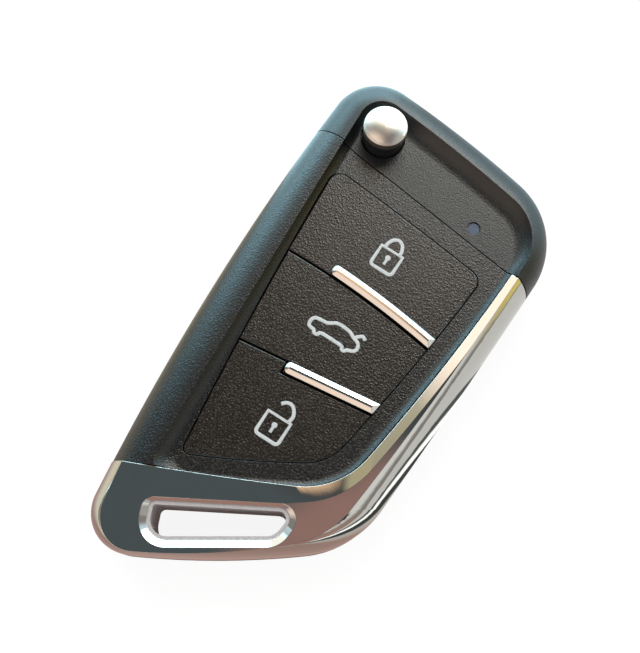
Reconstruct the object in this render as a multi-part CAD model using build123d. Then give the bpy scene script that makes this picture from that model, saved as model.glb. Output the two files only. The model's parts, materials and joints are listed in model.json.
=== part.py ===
"""Folding key fob: a dished two-part case with a bright trim, three keys and a flip blade.

Millimetres. The fob lies on its back: the rear face is z = 0, +Z points out of the front face and
+Y points to the head. The Z axis is the blade's pivot. The blade is folded along the left side.
"""

import math
import os

from build123d import *

os.makedirs("parts", exist_ok=True)

# Heights of the case
FLAT_Z = 13.5
RIDGE_RISE = 1.3
SPLIT_Z = 6.4
FRONT_SHOULDER = 5.6
REAR_SHOULDER = 3.8
REAR_SHOULDER_WIDTHS = [3.2, 3.2, 0.8, 3.2]
FRONT_ROUNDNESS = 0.62
REAR_ROUNDNESS = 0.5

# Walls, gaps and fits
WALL = 1.5
SEAM_GAP = 0.14
FIT = 0.05
PRESS_FIT = 0.03
SLIDE_FIT = 0.08
SEAT = 0.02

# Outline of the case seen from the front: sharp corners clockwise from the head's left corner,
# how far each side bows out, and how far each corner is rounded
CASE_CORNERS = [(-8.3, 9.8), (30.0, 2.4), (25.0, -51.8), (-7.3, -70.4)]
CASE_BOWS = [1.2, 0.25, 1.45, 2.2]
CASE_RADII = [7.0, 12.0, 14.0, 5.6]

# Crest round the dished front, then the upper and the lower edge of the slope inside it
CREST_CORNERS = [(-4.45, 5.4), (26.6, -0.9), (20.4, -49.5), (-3.2, -60.0)]
CREST_BOWS = [0.58, 0.85, 0.5, 0.3]
CREST_RADII = [3.5, 7.4, 10.0, 3.0]
DISH_CORNERS = [(-4.45, 5.4), (26.8, -0.9), (19.7, -47.35), (-3.5, -57.8)]
DISH_BOWS = [0.58, 0.75, 0.45, 0.2]
DISH_RADII = [3.5, 7.4, 11.0, 2.5]
TOE_CORNERS = [(-3.1, 2.4), (24.6, -3.2), (18.2, -46.1), (-1.0, -55.2)]
TOE_BOWS = [0.58, 0.75, 0.45, 0.2]
TOE_RADII = [1.6, 5.3, 9.4, 1.8]

# Bright trim: its inner edge runs down the right side, turns and crosses to the left side
TRIM_TOP = (25.75, -5.0)
TRIM_TURN = (19.3, -46.95)
TRIM_END = (-12.0, -59.6)
TRIM_SIDE_BOW = 0.75
TRIM_FOOT_BOW = 0.35
TRIM_TURN_RADIUS = 11.0
TRIM_EDGE = 0.25
TRIM_EDGE_DROP = 0.2
TRIM_WALL = 1.4
TRIM_ROUNDNESS = 0.75

# Bright band inside the trim's crease: it slopes in along the right side and fades out along the foot
BAND_TOP = (27.0, -5.2)
BAND_TURN = (20.6, -47.6)
BAND_END = (-12.0, -68.0)
BAND_TURN_RADIUS = 12.0
BAND_DROP = 0.42
BAND_FADE = 9.0
TRIM_CREST_CORNERS = [(-6.7, 5.4), (26.6, -0.9), (21.2, -52.6), (-5.1, -69.2)]
TRIM_CREST_BOWS = [0.58, 0.85, 1.5, 1.9]
TRIM_CREST_RADII = [3.5, 7.4, 12.0, 4.4]

# Slanted seam between the head cover and the front shell: y = SEAM_Y + SEAM_SLOPE * x
SEAM_Y = -4.51
SEAM_SLOPE = -0.18

# Key-ring slot in the foot: corners clockwise, bevel width on each side, sleeve inside it
SLOT_CORNERS = [(-1.9, -60.1), (17.2, -50.4), (16.4, -57.0), (0.4, -66.25)]
SLOT_RADII = [1.5, 2.1, 3.6, 3.5]
SLOT_BEVELS = [0.45, 0.85, 0.95, 0.9]
SLOT_BEVEL_DEPTH = 0.45
SLEEVE_WALL = 0.5
SLEEVE_FLARE = 0.5
SLEEVE_DROP = 0.65

# Key panel, its three keys and the lines between them
PANEL_CORNERS = [(-3.55, -7.45), (22.35, -11.5), (16.45, -44.5), (-1.05, -53.2)]
PANEL_BOWS = [0.15, 0.45, 0.35, 0.45]
PANEL_RADII = [1.9, 1.9, 7.0, 1.0]
PANEL_GAP = 0.12
KEY_GAP = 0.26
KEY_PROUD = 0.12
KEY_LIP = 0.7
KEY_LIP_THICKNESS = 0.6
KEY_SKIN = 1.0
KEY_RIM = 1.4
KEY_TRAVEL = 0.35
KEY_EDGE = 0.16
LOCK_LINE = [(-6.0, -21.65), (3.4, -21.9), (13.0, -23.0), (24.0, -25.2)]
TRUNK_LINE = [(-6.0, -36.25), (24.0, -33.85)]
STEM_RADIUS = 1.6

# Bright bars: width, height over the key, depth of the seat in it, roof-like facets and left ends
BAR_WIDTH = 1.6
BAR_PROUD = 0.75
BAR_SEAT = 0.55
BAR_FACET = 0.62
BAR_FACET_RISE = 0.3
LOCK_BAR_START = 3.7
TRUNK_BAR_START = 5.05

# Blade, pocket and rotor
BLADE_X = -4.8
BLADE_WIDTH = 8.2
BLADE_THICKNESS = 2.3
BLADE_REACH = 54.0
BLADE_GROOVE = 2.8
BLADE_GROOVE_DEPTH = 0.5
BLADE_TIP = 2.2
TANG_WIDTH = 5.6
TANG_START = 4.3
POCKET_CLEARANCE = 0.35
ARM_LENGTH = 9.4
ARM_THICKNESS = 4.2
ARM_CLEARANCE = 0.2
ROTOR_RADIUS = 5.75
BARREL_RADIUS = 3.9
JOURNAL_RADIUS = 4.4
ROTOR_BORE = 3.35
ROTOR_BOTTOM = 1.7
BORE_BOTTOM = 3.2
PIN_RADIUS = 0.8
PIN_FROM_END = 2.4

# Release button and its spring
RELEASE_HOLE = 3.2
RELEASE_RADIUS = 3.0
RELEASE_CAP_RADIUS = 3.1
RELEASE_CAP_HEIGHT = 1.25
RELEASE_CAP_ROUND = 0.3
RELEASE_DOME = 0.75
RELEASE_STEM_RISE = 2.65
RELEASE_FLANGE = 3.3
RELEASE_FLANGE_BOTTOM = 8.0
RELEASE_TRAVEL = 2.2
SPIGOT_RADIUS = 1.8
SPIGOT_HEIGHT = 0.7
SPRING_WIRE = 0.25
SPRING_RADIUS = 2.6
SPRING_TURNS = 4.5

# Light window
LED_X = 17.7
LED_Y = -5.5
LED_RADIUS = 0.88
LED_FLANGE = 1.5
LED_RECESS = 0.2

# Circuit board and what it carries
BOARD_Z = 6.6
BOARD_THICKNESS = 1.0
BOARD_HEAD = [(1.4, -8.4), (10.8, -8.4), (12.0, -3.8), (21.3, -3.8)]
BOARD_FOOT = [(22.3, -9.0), (19.0, -38.5), (15.4, -45.4), (7.6, -48.6), (1.4, -48.6)]
BOARD_CORNER = 0.8
BOARD_POSTS = [(3.2, -10.6), (19.6, -12.0), (3.2, -46.6), (15.2, -43.0)]
POST_RADIUS = 1.2
SWITCH_PLACES = {"lock": (9.5, -15.6), "trunk": (9.0, -29.0), "unlock": (7.6, -42.6)}
SWITCH_SIZE = (4.4, 3.6)
SWITCH_HEIGHT = 0.9
PLUNGER_RADIUS = 0.8
PLUNGER_RISE = 0.4
LED_CHIP = (1.6, 1.0, 0.7)
CONTROL_CHIP = (5.0, 5.0, 1.0)
CONTROL_CHIP_AT = (16.1, -21.9)
CRYSTAL = (2.6, 6.0, 1.5)
CRYSTAL_AT = (4.6, -23.0)
COIL = (3.2, 6.4, 1.4)
COIL_AT = (3.5, -34.4)
COIL_RIM = (0.7, 1.4, 0.3)

# Battery, its contacts and the rear door
CELL_X = 11.3
CELL_Y = -31.0
CELL_RADIUS = 10.0
CELL_HEIGHT = 3.2
CELL_Z = 1.75
CELL_RIM = 1.1
CELL_STEP = 0.35
CONTACT_OUTER = 5.0
CONTACT_INNER = 3.6
CONTACT_SHEET = 0.3
CONTACT_FINGER = (1.2, 1.8)
CLIP_SHEET = 0.35
CLIP_WIDTH = 7.0
CLIP_REACH = 3.0
DOOR_CORNERS = [(-0.7, -18.4), (23.9, -18.4), (22.4, -43.6), (0.2, -43.6)]
DOOR_RADII = [3.0, 3.0, 6.0, 6.0]
DOOR_LEDGE = 1.1
DOOR_THICKNESS = 0.95
DOOR_NOTCH = 5.0
DOOR_NOTCH_DEPTH = 0.4

# Transponder capsule and screws
CAPSULE_RADIUS = 1.1
CAPSULE_LENGTH = 11.0
CAPSULE_AT = (11.2, -0.6, 3.6)
SCREW_PLACES = [(25.0, -4.8), (12.6, 3.2), (2.6, -51.2), (20.5, -48.9)]
SCREW_HEAD_RADIUS = 1.8
SCREW_HEAD_HEIGHT = 1.1
SCREW_HEAD_Z = 1.0
SCREW_SHANK_RADIUS = 0.95
SCREW_TIP_Z = 9.9
BOSS_RADIUS = 2.1

# Heights that follow from the sizes above
RIDGE_Z = FLAT_Z + RIDGE_RISE
FRONT_WALL_TOP = RIDGE_Z - FRONT_SHOULDER
CEILING_Z = FLAT_Z - WALL
BLADE_Z = SPLIT_Z
BLADE_LOW = BLADE_Z - BLADE_THICKNESS / 2
BLADE_HIGH = BLADE_Z + BLADE_THICKNESS / 2
ARM_LOW = BLADE_Z - ARM_THICKNESS / 2
ARM_HIGH = BLADE_Z + ARM_THICKNESS / 2
POCKET_LOW = BLADE_LOW - POCKET_CLEARANCE
POCKET_HIGH = BLADE_HIGH + POCKET_CLEARANCE
BLADE_LEFT = BLADE_X - BLADE_WIDTH / 2
BLADE_RIGHT = BLADE_X + BLADE_WIDTH / 2
POCKET_WALL_X = BLADE_RIGHT + POCKET_CLEARANCE
PIN_Y = PIN_FROM_END - ARM_LENGTH
BOARD_TOP = BOARD_Z + BOARD_THICKNESS
KEY_TOP = FLAT_Z + KEY_PROUD
LIP_TOP = CEILING_Z - SLIDE_FIT
PLUNGER_TOP = BOARD_TOP + SWITCH_HEIGHT + PLUNGER_RISE
STEM_TOP_Z = FLAT_Z + RELEASE_STEM_RISE
FAR = 90.0


def side(a, b, bow):
    """One side from a to b, bowed out to the left of its direction."""
    if abs(bow) < 1e-6:
        return Line(a, b)
    length = math.hypot(b[0] - a[0], b[1] - a[1])
    middle = (
        (a[0] + b[0]) / 2 - (b[1] - a[1]) / length * bow,
        (a[1] + b[1]) / 2 + (b[0] - a[0]) / length * bow,
    )
    return ThreePointArc(a, middle, b)


def rounded(corners, bows, radii):
    """Closed face with bowed sides and rounded corners; corners run clockwise."""
    count = len(corners)
    sides = [side(corners[i], corners[(i + 1) % count], bows[i]) for i in range(count)]
    face = make_face(Curve() + sides)
    for corner, radius in zip(corners, radii):
        if radius > 0:
            face = fillet(face.vertices().sort_by_distance(Vector(*corner, 0))[0], radius)
    return face


def inset(corners, amounts):
    """Corners moved in so that each side shifts by its amount."""
    count = len(corners)
    lines = []
    for i in range(count):
        a, b = corners[i], corners[(i + 1) % count]
        dx, dy = b[0] - a[0], b[1] - a[1]
        length = math.hypot(dx, dy)
        lines.append((a[0] + dy / length * amounts[i], a[1] - dx / length * amounts[i], dx, dy))
    moved = []
    for i in range(count):
        x1, y1, dx1, dy1 = lines[i - 1]
        x2, y2, dx2, dy2 = lines[i]
        cross = dx1 * dy2 - dy1 * dx2
        t = ((x2 - x1) * dy2 - (y2 - y1) * dx2) / cross
        moved.append((x1 + dx1 * t, y1 + dy1 * t))
    return moved


def shrink(shape, amounts):
    """Shape (corners, bows, radii) moved in by one amount for each side."""
    corners, bows, radii = shape
    count = len(corners)
    smaller = [max(radii[i] - (amounts[i - 1] + amounts[i]) / 2, 0.3) for i in range(count)]
    return inset(corners, amounts), bows, smaller


def blend(a, b, t):
    """Shape between a and b."""
    corners = [(p[0] + (q[0] - p[0]) * t, p[1] + (q[1] - p[1]) * t) for p, q in zip(a[0], b[0])]
    bows = [p + (q - p) * t for p, q in zip(a[1], b[1])]
    radii = [p + (q - p) * t for p, q in zip(a[2], b[2])]
    return corners, bows, radii


def shoulder(low, high, z_low, z_high, power, steps=(0.0, 0.3, 0.55, 0.75, 0.88, 0.96, 1.0)):
    """Rounded shoulder lofted from the shape low at z_low to the shape high at z_high."""
    sections = []
    for s in steps:
        share = 1 - (1 - s * s) ** power
        sections.append(Pos(0, 0, z_low + (z_high - z_low) * s) * rounded(*blend(low, high, share)))
    return loft(sections)


def prism(face, z_low, z_high):
    """Face in the XY plane raised from z_low to z_high."""
    return extrude(Pos(0, 0, z_low) * face, z_high - z_low)


def polygon(points, radius=0.0):
    face = make_face(Polyline(*points, close=True))
    if radius > 0:
        face = fillet(face.vertices(), radius)
    return face


def disc(x, y, radius, z_low, z_high):
    return Pos(x, y, z_low) * Cylinder(
        radius, z_high - z_low, align=(Align.CENTER, Align.CENTER, Align.MIN)
    )


def block(x_low, x_high, y_low, y_high, z_low, z_high):
    return Pos(x_low, y_low, z_low) * Box(
        x_high - x_low, y_high - y_low, z_high - z_low, align=(Align.MIN, Align.MIN, Align.MIN)
    )


def write(name, shape):
    shape.label = name
    export_step(shape, f"parts/{name}.step")


CASE = (CASE_CORNERS, CASE_BOWS, CASE_RADII)
CREST = (CREST_CORNERS, CREST_BOWS, CREST_RADII)
TRIM_CREST = (TRIM_CREST_CORNERS, TRIM_CREST_BOWS, TRIM_CREST_RADII)
DISH = (DISH_CORNERS, DISH_BOWS, DISH_RADII)
TOE = (TOE_CORNERS, TOE_BOWS, TOE_RADII)
PANEL = (PANEL_CORNERS, PANEL_BOWS, PANEL_RADII)
INNER_CASE = shrink(CASE, [WALL] * 4)
INNER_CREST = shrink(CREST, [WALL * 0.5] * 4)
REAR_FACE = shrink(CASE, REAR_SHOULDER_WIDTHS)
STRAIGHT = [0.0] * 4


def front_body(crest, roundness):
    """Front half of the case over its whole outline, with a crest of the given shape."""
    return prism(rounded(*CASE), SPLIT_Z, FRONT_WALL_TOP) + shoulder(
        CASE, crest, FRONT_WALL_TOP, RIDGE_Z, roundness
    )


def front_cavity():
    """Hollow of the front half, up to the ceiling."""
    return prism(rounded(*INNER_CASE), SPLIT_Z - 1, FRONT_WALL_TOP) + shoulder(
        INNER_CASE, INNER_CREST, FRONT_WALL_TOP, CEILING_Z, FRONT_ROUNDNESS, (0.0, 0.5, 0.85, 1.0)
    )


def dish():
    """What the dished front leaves out: a concave slope from the crest down to the flat."""
    sections = []
    for s in (0.0, 0.12, 0.35, 0.65, 1.0):
        shape = blend(TOE, DISH, s**0.5)
        sections.append(Pos(0, 0, FLAT_Z + RIDGE_RISE * s) * rounded(*shape))
    return loft(sections) + prism(rounded(*DISH), RIDGE_Z, RIDGE_Z + 2)


def side_zone(top, turn, end, radius):
    """Everything to the left of a line that runs down the right side, turns and crosses to the left."""
    sides = Curve() + [
        side(top, turn, TRIM_SIDE_BOW),
        side(turn, end, TRIM_FOOT_BOW),
        Line(end, (-FAR, end[1])),
        Line((-FAR, end[1]), (-FAR, FAR)),
        Line((-FAR, FAR), (top[0], FAR)),
        Line((top[0], FAR), top),
    ]
    face = make_face(sides)
    return fillet(face.vertices().sort_by_distance(Vector(*turn, 0))[0], radius)


def trim_side(shift):
    """Everything on the black side of the trim's inner edge, moved by shift towards the trim."""
    corners = [TRIM_TOP, TRIM_TURN, TRIM_END, (-FAR, FAR), (TRIM_TOP[0], FAR)]
    top, turn, end = inset(corners, [-shift, -shift, 0, 0, 0])[:3]
    return side_zone(top, turn, end, TRIM_TURN_RADIUS + shift)


def funnel(low_face, high_face, drop):
    """What a slope cuts away: from one edge, lower by drop, up to another edge at the ridge."""
    slope = loft([Pos(0, 0, RIDGE_Z - drop) * low_face, Pos(0, 0, RIDGE_Z) * high_face], ruled=True)
    return slope + prism(high_face, RIDGE_Z, RIDGE_Z + drop)


def trim_slopes():
    """Sloping band along the trim's crease, and the small chamfer along its inner edge."""
    fade_end = (TRIM_END[0], TRIM_END[1] + BAND_FADE)
    low = side_zone(TRIM_TOP, TRIM_TURN, fade_end, TRIM_TURN_RADIUS)
    high = side_zone(BAND_TOP, BAND_TURN, BAND_END, BAND_TURN_RADIUS)
    edge_low = trim_side(SEAM_GAP / 2)
    edge_high = trim_side(SEAM_GAP / 2 + TRIM_EDGE)
    return funnel(low, high, BAND_DROP) + funnel(edge_low, edge_high, TRIM_EDGE_DROP)


def below_seam(shift):
    """Half plane on the foot side of the seam, moved by shift towards the head."""
    return polygon(
        [
            (-FAR, SEAM_Y + shift - SEAM_SLOPE * FAR),
            (FAR, SEAM_Y + shift + SEAM_SLOPE * FAR),
            (FAR, -FAR),
            (-FAR, -FAR),
        ]
    )


def above_seam(shift):
    """Half plane on the head side of the seam, moved by shift towards the head."""
    return polygon(
        [
            (-FAR, SEAM_Y + shift - SEAM_SLOPE * FAR),
            (FAR, SEAM_Y + shift + SEAM_SLOPE * FAR),
            (FAR, FAR),
            (-FAR, FAR),
        ]
    )


def rotor_pocket():
    """Space that the rotor's flange and arm sweep from folded to open."""
    low, high = ARM_LOW - ARM_CLEARANCE, ARM_HIGH + ARM_CLEARANCE
    left, right = BLADE_LEFT - ARM_CLEARANCE, BLADE_RIGHT + ARM_CLEARANCE
    reach = ARM_LENGTH + ARM_CLEARANCE
    corner = math.hypot(left, reach) + ARM_CLEARANCE
    folded = block(-FAR, right, -reach, 0, low, high)
    opened = block(0, -left, 0, FAR, low, high)
    swing = disc(0, 0, corner, low, high) & block(-FAR, 0, 0, FAR, low, high)
    return disc(0, 0, ROTOR_RADIUS + ARM_CLEARANCE, low, high) + folded + opened + swing


def blade_pocket():
    """Slot along the left side that the folded blade lies in, open to the left."""
    end = -BLADE_REACH - POCKET_CLEARANCE - 0.2
    slot = block(-FAR, POCKET_WALL_X, end, 0, POCKET_LOW, POCKET_HIGH)
    corner = slot.edges().filter_by(Axis.Z).sort_by_distance(Vector(POCKET_WALL_X, end, BLADE_Z))[0]
    return fillet(corner, 1.5)


def pocket_block(z_low, z_high):
    """Solid round the blade pocket, so that the board's chamber is closed off from it."""
    return block(-FAR, POCKET_WALL_X + 1.0, -BLADE_REACH - 2.4, -3.0, z_low, z_high)


def slot_shape(extra, flare):
    """Key-ring sleeve outline: inner edge of the bevel, moved in by extra and out by flare."""
    return shrink(
        (SLOT_CORNERS, STRAIGHT, SLOT_RADII), [bevel + extra - flare for bevel in SLOT_BEVELS]
    )


def sleeve_solid(extra, z_low, z_high):
    """Tapered plug of the sleeve: wide at the rear face, narrow at the top."""
    top_z = RIDGE_Z - SLEEVE_DROP
    shapes = []
    for z in (z_low, z_high):
        flare = SLEEVE_FLARE * (top_z - z) / top_z
        shapes.append(Pos(0, 0, z) * rounded(*slot_shape(extra, flare)))
    return loft(shapes, ruled=True)


def screw_hole(place, through):
    """Clearance hole and head pocket for one screw, through the rear half."""
    x, y = place
    head = disc(x, y, SCREW_HEAD_RADIUS + SLIDE_FIT, -1, SCREW_HEAD_Z + SCREW_HEAD_HEIGHT + SEAT)
    return head + disc(x, y, SCREW_SHANK_RADIUS + SLIDE_FIT, 0, through)


def line_points(points):
    """Smooth key line through its points, as a function from x to y."""

    def at(x):
        for (x0, y0), (x1, y1) in zip(points, points[1:]):
            if x <= x1:
                return y0 + (y1 - y0) * (x - x0) / (x1 - x0)
        return points[-1][1]

    return at


def band(points, low, high):
    """Strip along a key line, from low to high beside it."""
    lower = [(x, y + low) for x, y in points]
    upper = [(x, y + high) for x, y in points]
    run_low = Spline(*lower) if len(points) > 2 else Line(*lower)
    run_high = Spline(*upper) if len(points) > 2 else Line(*upper)
    return make_face(Curve() + [run_low, Line(lower[-1], upper[-1]), run_high, Line(upper[0], lower[0])])


def panel(shift):
    return rounded(*shrink(PANEL, [shift] * 4))


def lock_bar_face(grow):
    """Bar on the lower edge of the lock key."""
    strip = band(LOCK_LINE, KEY_GAP / 2 - grow, KEY_GAP / 2 + BAR_WIDTH + grow)
    piece = strip & block_face(LOCK_BAR_START - grow, FAR) & panel(PANEL_GAP - grow)
    return round_left_end(piece, (BAR_WIDTH / 2 + grow) * 0.84)


def trunk_bar_face(grow):
    """Bar that hangs below the line between the trunk and unlock keys."""
    strip = band(TRUNK_LINE, -BAR_WIDTH - grow, grow)
    piece = strip & block_face(TRUNK_BAR_START - grow, FAR) & panel(PANEL_GAP - grow)
    return round_left_end(piece, (BAR_WIDTH / 2 + grow) * 0.84)


def block_face(x_low, x_high):
    return polygon([(x_low, -FAR), (x_low, FAR), (x_high, FAR), (x_high, -FAR)])


def round_left_end(face, radius):
    ends = face.vertices().sort_by(Axis.X)[:2]
    return fillet(ends, radius)


def make_bar(bar_face):
    """Bar with two long facets that meet near its middle, like a low roof."""
    eaves = KEY_TOP + BAR_PROUD - BAR_FACET_RISE
    sections = [Pos(0, 0, eaves) * bar_face(0), Pos(0, 0, KEY_TOP + BAR_PROUD) * bar_face(-BAR_FACET)]
    return prism(bar_face(0), KEY_TOP - BAR_SEAT, eaves) + loft(sections, ruled=True)


def key_solid(zone, core_zone, switch_place):
    """Key plate with a retaining lip, an underside hollowed over core_zone and a switch stem."""
    plate = prism(panel(PANEL_GAP) & zone, LIP_TOP - KEY_LIP_THICKNESS, KEY_TOP)
    top = plate.faces().sort_by(Axis.Z)[-1]
    plate = fillet(top.edges(), KEY_EDGE)
    lip = prism(panel(PANEL_GAP - KEY_LIP) & zone, LIP_TOP - KEY_LIP_THICKNESS, LIP_TOP)
    hollow = prism(panel(KEY_RIM) & core_zone, 0, KEY_TOP - KEY_SKIN - BAR_SEAT)
    stem = disc(*switch_place, STEM_RADIUS, PLUNGER_TOP, KEY_TOP - KEY_SKIN)
    return plate + lip - hollow + stem


def build_front():
    """Front shell, head cover and trim, cut from the front half of the case."""
    hollow = front_cavity() - pocket_block(0, POCKET_HIGH + 1.1)
    black = front_body(CREST, FRONT_ROUNDNESS) - dish()
    pockets = rotor_pocket() + blade_pocket()
    boss_bottom = SPLIT_Z + SEAT
    pilot = SCREW_SHANK_RADIUS + 0.03

    shell_zone = prism(trim_side(-SEAM_GAP / 2) & below_seam(-SEAM_GAP / 2), 0, FAR)
    shell_hollow = hollow & prism(trim_side(-WALL), 0, FAR)
    front = (black & shell_zone) - shell_hollow
    x, y = SCREW_PLACES[2]
    lip_room = LIP_TOP - KEY_LIP_THICKNESS - KEY_TRAVEL - 0.2
    front += disc(x, y, BOSS_RADIUS, boss_bottom, lip_room)
    front -= disc(x, y, pilot, boss_bottom - 1, SCREW_TIP_Z + 0.3)
    front = front - pockets - prism(panel(0), CEILING_Z - 1, FLAT_Z + 3)
    write("front_shell", front)

    head_zone = prism(above_seam(SEAM_GAP / 2), 0, FAR)
    head = (black & head_zone) - hollow
    head += disc(0, 0, BARREL_RADIUS + 1.2, ARM_HIGH + ARM_CLEARANCE, CEILING_Z + 0.2) & head_zone
    for x, y in SCREW_PLACES[:2]:
        head += disc(x, y, BOSS_RADIUS, boss_bottom, CEILING_Z + 0.2) & (black & head_zone)
        head -= disc(x, y, pilot, boss_bottom - 1, SCREW_TIP_Z + 0.3)
    head = head - pockets
    head -= disc(0, 0, BARREL_RADIUS + FIT, SPLIT_Z, CEILING_Z)
    head -= disc(0, 0, RELEASE_HOLE, SPLIT_Z, RIDGE_Z + 1)
    head -= disc(LED_X, LED_Y, LED_RADIUS + FIT, SPLIT_Z, RIDGE_Z)
    write("head_cover", head)

    outside = prism(block_face(-FAR, FAR), 0, FAR)
    trim_zone = outside - prism(trim_side(SEAM_GAP / 2), -1, FAR + 1)
    trim_zone &= prism(below_seam(-SEAM_GAP / 2), 0, FAR)
    core_shape = shrink(CASE, [TRIM_WALL] * 4)
    core_crest = shrink(TRIM_CREST, [TRIM_WALL * 0.6] * 4)
    core_top = RIDGE_Z - 2.4
    core = prism(rounded(*core_shape), 0, FRONT_WALL_TOP) + shoulder(
        core_shape, core_crest, FRONT_WALL_TOP, core_top, FRONT_ROUNDNESS, (0.0, 0.5, 0.85, 1.0)
    )
    core &= outside - prism(trim_side(TRIM_WALL), -1, FAR + 1)
    core &= prism(below_seam(-TRIM_WALL), 0, FAR)
    core -= prism(rounded(*slot_shape(-1.3, 0)), 0, FAR)
    trim = (front_body(TRIM_CREST, TRIM_ROUNDNESS) & trim_zone) - core - trim_slopes()
    x, y = SCREW_PLACES[3]
    trim += disc(x, y, BOSS_RADIUS, boss_bottom, core_top + 0.2)
    trim -= disc(x, y, pilot, boss_bottom - 1, SCREW_TIP_Z + 0.3)
    outer_edge = Pos(0, 0, RIDGE_Z) * rounded(SLOT_CORNERS, STRAIGHT, SLOT_RADII)
    inner_edge = Pos(0, 0, RIDGE_Z - SLOT_BEVEL_DEPTH) * rounded(*slot_shape(0, 0))
    trim -= loft([outer_edge, inner_edge], ruled=True)
    trim -= sleeve_solid(-SLIDE_FIT, 0, RIDGE_Z - SLEEVE_DROP)
    trim -= prism(rounded(*slot_shape(0, 0)), RIDGE_Z - SLEEVE_DROP - 0.1, RIDGE_Z)
    write("chrome_trim", trim)


def rear_body():
    """Rear half of the case, solid, with its rounded shoulder down to the flat rear face."""
    steps = (0.0, 0.35, 0.65, 0.85, 0.95, 1.0)
    return prism(rounded(*CASE), REAR_SHOULDER, SPLIT_Z - SEAT) + shoulder(
        CASE, REAR_FACE, REAR_SHOULDER, 0, REAR_ROUNDNESS, steps
    )


def build_rear():
    """Rear shell and its battery door."""
    rear = rear_body()
    inner_face = shrink(REAR_FACE, [WALL * 0.3] * 4)
    hollow = prism(rounded(*INNER_CASE), REAR_SHOULDER, SPLIT_Z + 1)
    hollow += shoulder(INNER_CASE, inner_face, REAR_SHOULDER, WALL, REAR_ROUNDNESS, (0.0, 0.5, 0.85, 1.0))
    hollow -= pocket_block(0, SPLIT_Z + 1)
    hollow -= disc(0, 0, ROTOR_RADIUS + 1.2, 0, SPLIT_Z + 1)
    hollow -= sleeve_solid(-1.3, 0, SPLIT_Z + 1)
    rear -= hollow
    for x, y in BOARD_POSTS:
        rear += disc(x, y, POST_RADIUS, WALL - 0.2, BOARD_Z - SEAT)
    for x, y in SCREW_PLACES:
        rear += disc(x, y, BOSS_RADIUS + 0.4, WALL - 0.2, SPLIT_Z - SEAT)
    for place in SCREW_PLACES:
        rear -= screw_hole(place, SPLIT_Z + 1)
    rear -= rotor_pocket() + blade_pocket()
    rear -= disc(0, 0, JOURNAL_RADIUS + FIT, ROTOR_BOTTOM - SEAT, SPLIT_Z)
    rear -= sleeve_solid(-SLIDE_FIT, 0.0, SPLIT_Z + 1)
    door_shape = (DOOR_CORNERS, STRAIGHT, DOOR_RADII)
    rear -= prism(rounded(*door_shape), -1, DOOR_THICKNESS + SEAT)
    rear -= prism(rounded(*shrink(door_shape, [DOOR_LEDGE] * 4)), -1, CELL_Z)
    rear -= disc(CELL_X, CELL_Y, CELL_RADIUS + 0.2, -1, SPLIT_Z)
    write("rear_shell", rear)

    door = prism(rounded(*shrink(door_shape, [SLIDE_FIT] * 4)), 0, DOOR_THICKNESS)
    door += prism(rounded(*shrink(door_shape, [DOOR_LEDGE + SLIDE_FIT] * 4)), 0, WALL - 0.1)
    notch_x = (DOOR_CORNERS[0][0] + DOOR_CORNERS[1][0]) / 2
    door -= Pos(notch_x, DOOR_CORNERS[0][1] - 1.2, DOOR_NOTCH_DEPTH - DOOR_NOTCH) * Sphere(DOOR_NOTCH)
    write("battery_cover", door)


def build_sleeve():
    """Grey sleeve that lines the key-ring slot."""
    top = RIDGE_Z - SLEEVE_DROP
    sleeve = sleeve_solid(0, 0, top) - sleeve_solid(SLEEVE_WALL, 0, top + 0.001)
    write("keyring_sleeve", sleeve & (rear_body() + prism(rounded(*CASE), SPLIT_Z - SEAT, RIDGE_Z)))


def tongue_face(grow):
    """Strip under the trunk bar, grown by grow on its left and lower sides."""
    run = line_points(TRUNK_LINE)
    left, right = TRUNK_BAR_START - grow, TRUNK_LINE[-1][0]
    return polygon(
        [
            (left, run(left) + BAR_WIDTH),
            (right, run(right) + BAR_WIDTH),
            (right, run(right) - BAR_WIDTH - grow),
            (left, run(left) - BAR_WIDTH - grow),
        ]
    )


def build_keys():
    """Three keys, the bars set into two of them, and the zones between the key lines."""
    edge, core = KEY_GAP / 2, KEY_GAP / 2 + KEY_RIM
    lock_zone = band(LOCK_LINE, edge, FAR)
    trunk_zone = band(LOCK_LINE, -FAR, -edge) & band(TRUNK_LINE, edge, FAR)
    trunk_zone += tongue_face(0)
    unlock_zone = band(TRUNK_LINE, -FAR, -edge) - tongue_face(KEY_GAP)
    trunk_core = band(LOCK_LINE, -FAR, -core) & band(TRUNK_LINE, core, FAR)

    lock = key_solid(lock_zone, band(LOCK_LINE, core, FAR), SWITCH_PLACES["lock"])
    trunk = key_solid(trunk_zone, trunk_core, SWITCH_PLACES["trunk"])
    unlock_core = band(TRUNK_LINE, -FAR, -core - BAR_WIDTH)
    unlock = key_solid(unlock_zone, unlock_core, SWITCH_PLACES["unlock"])
    seat_low = KEY_TOP - BAR_SEAT
    lock -= prism(lock_bar_face(0.03), seat_low, KEY_TOP + 1)
    trunk -= prism(trunk_bar_face(0.03), seat_low, KEY_TOP + 1)
    write("lock_button", lock)
    write("trunk_button", trunk)
    write("unlock_button", unlock)
    write("lock_bar", make_bar(lock_bar_face))
    write("trunk_bar", make_bar(trunk_bar_face))


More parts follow.
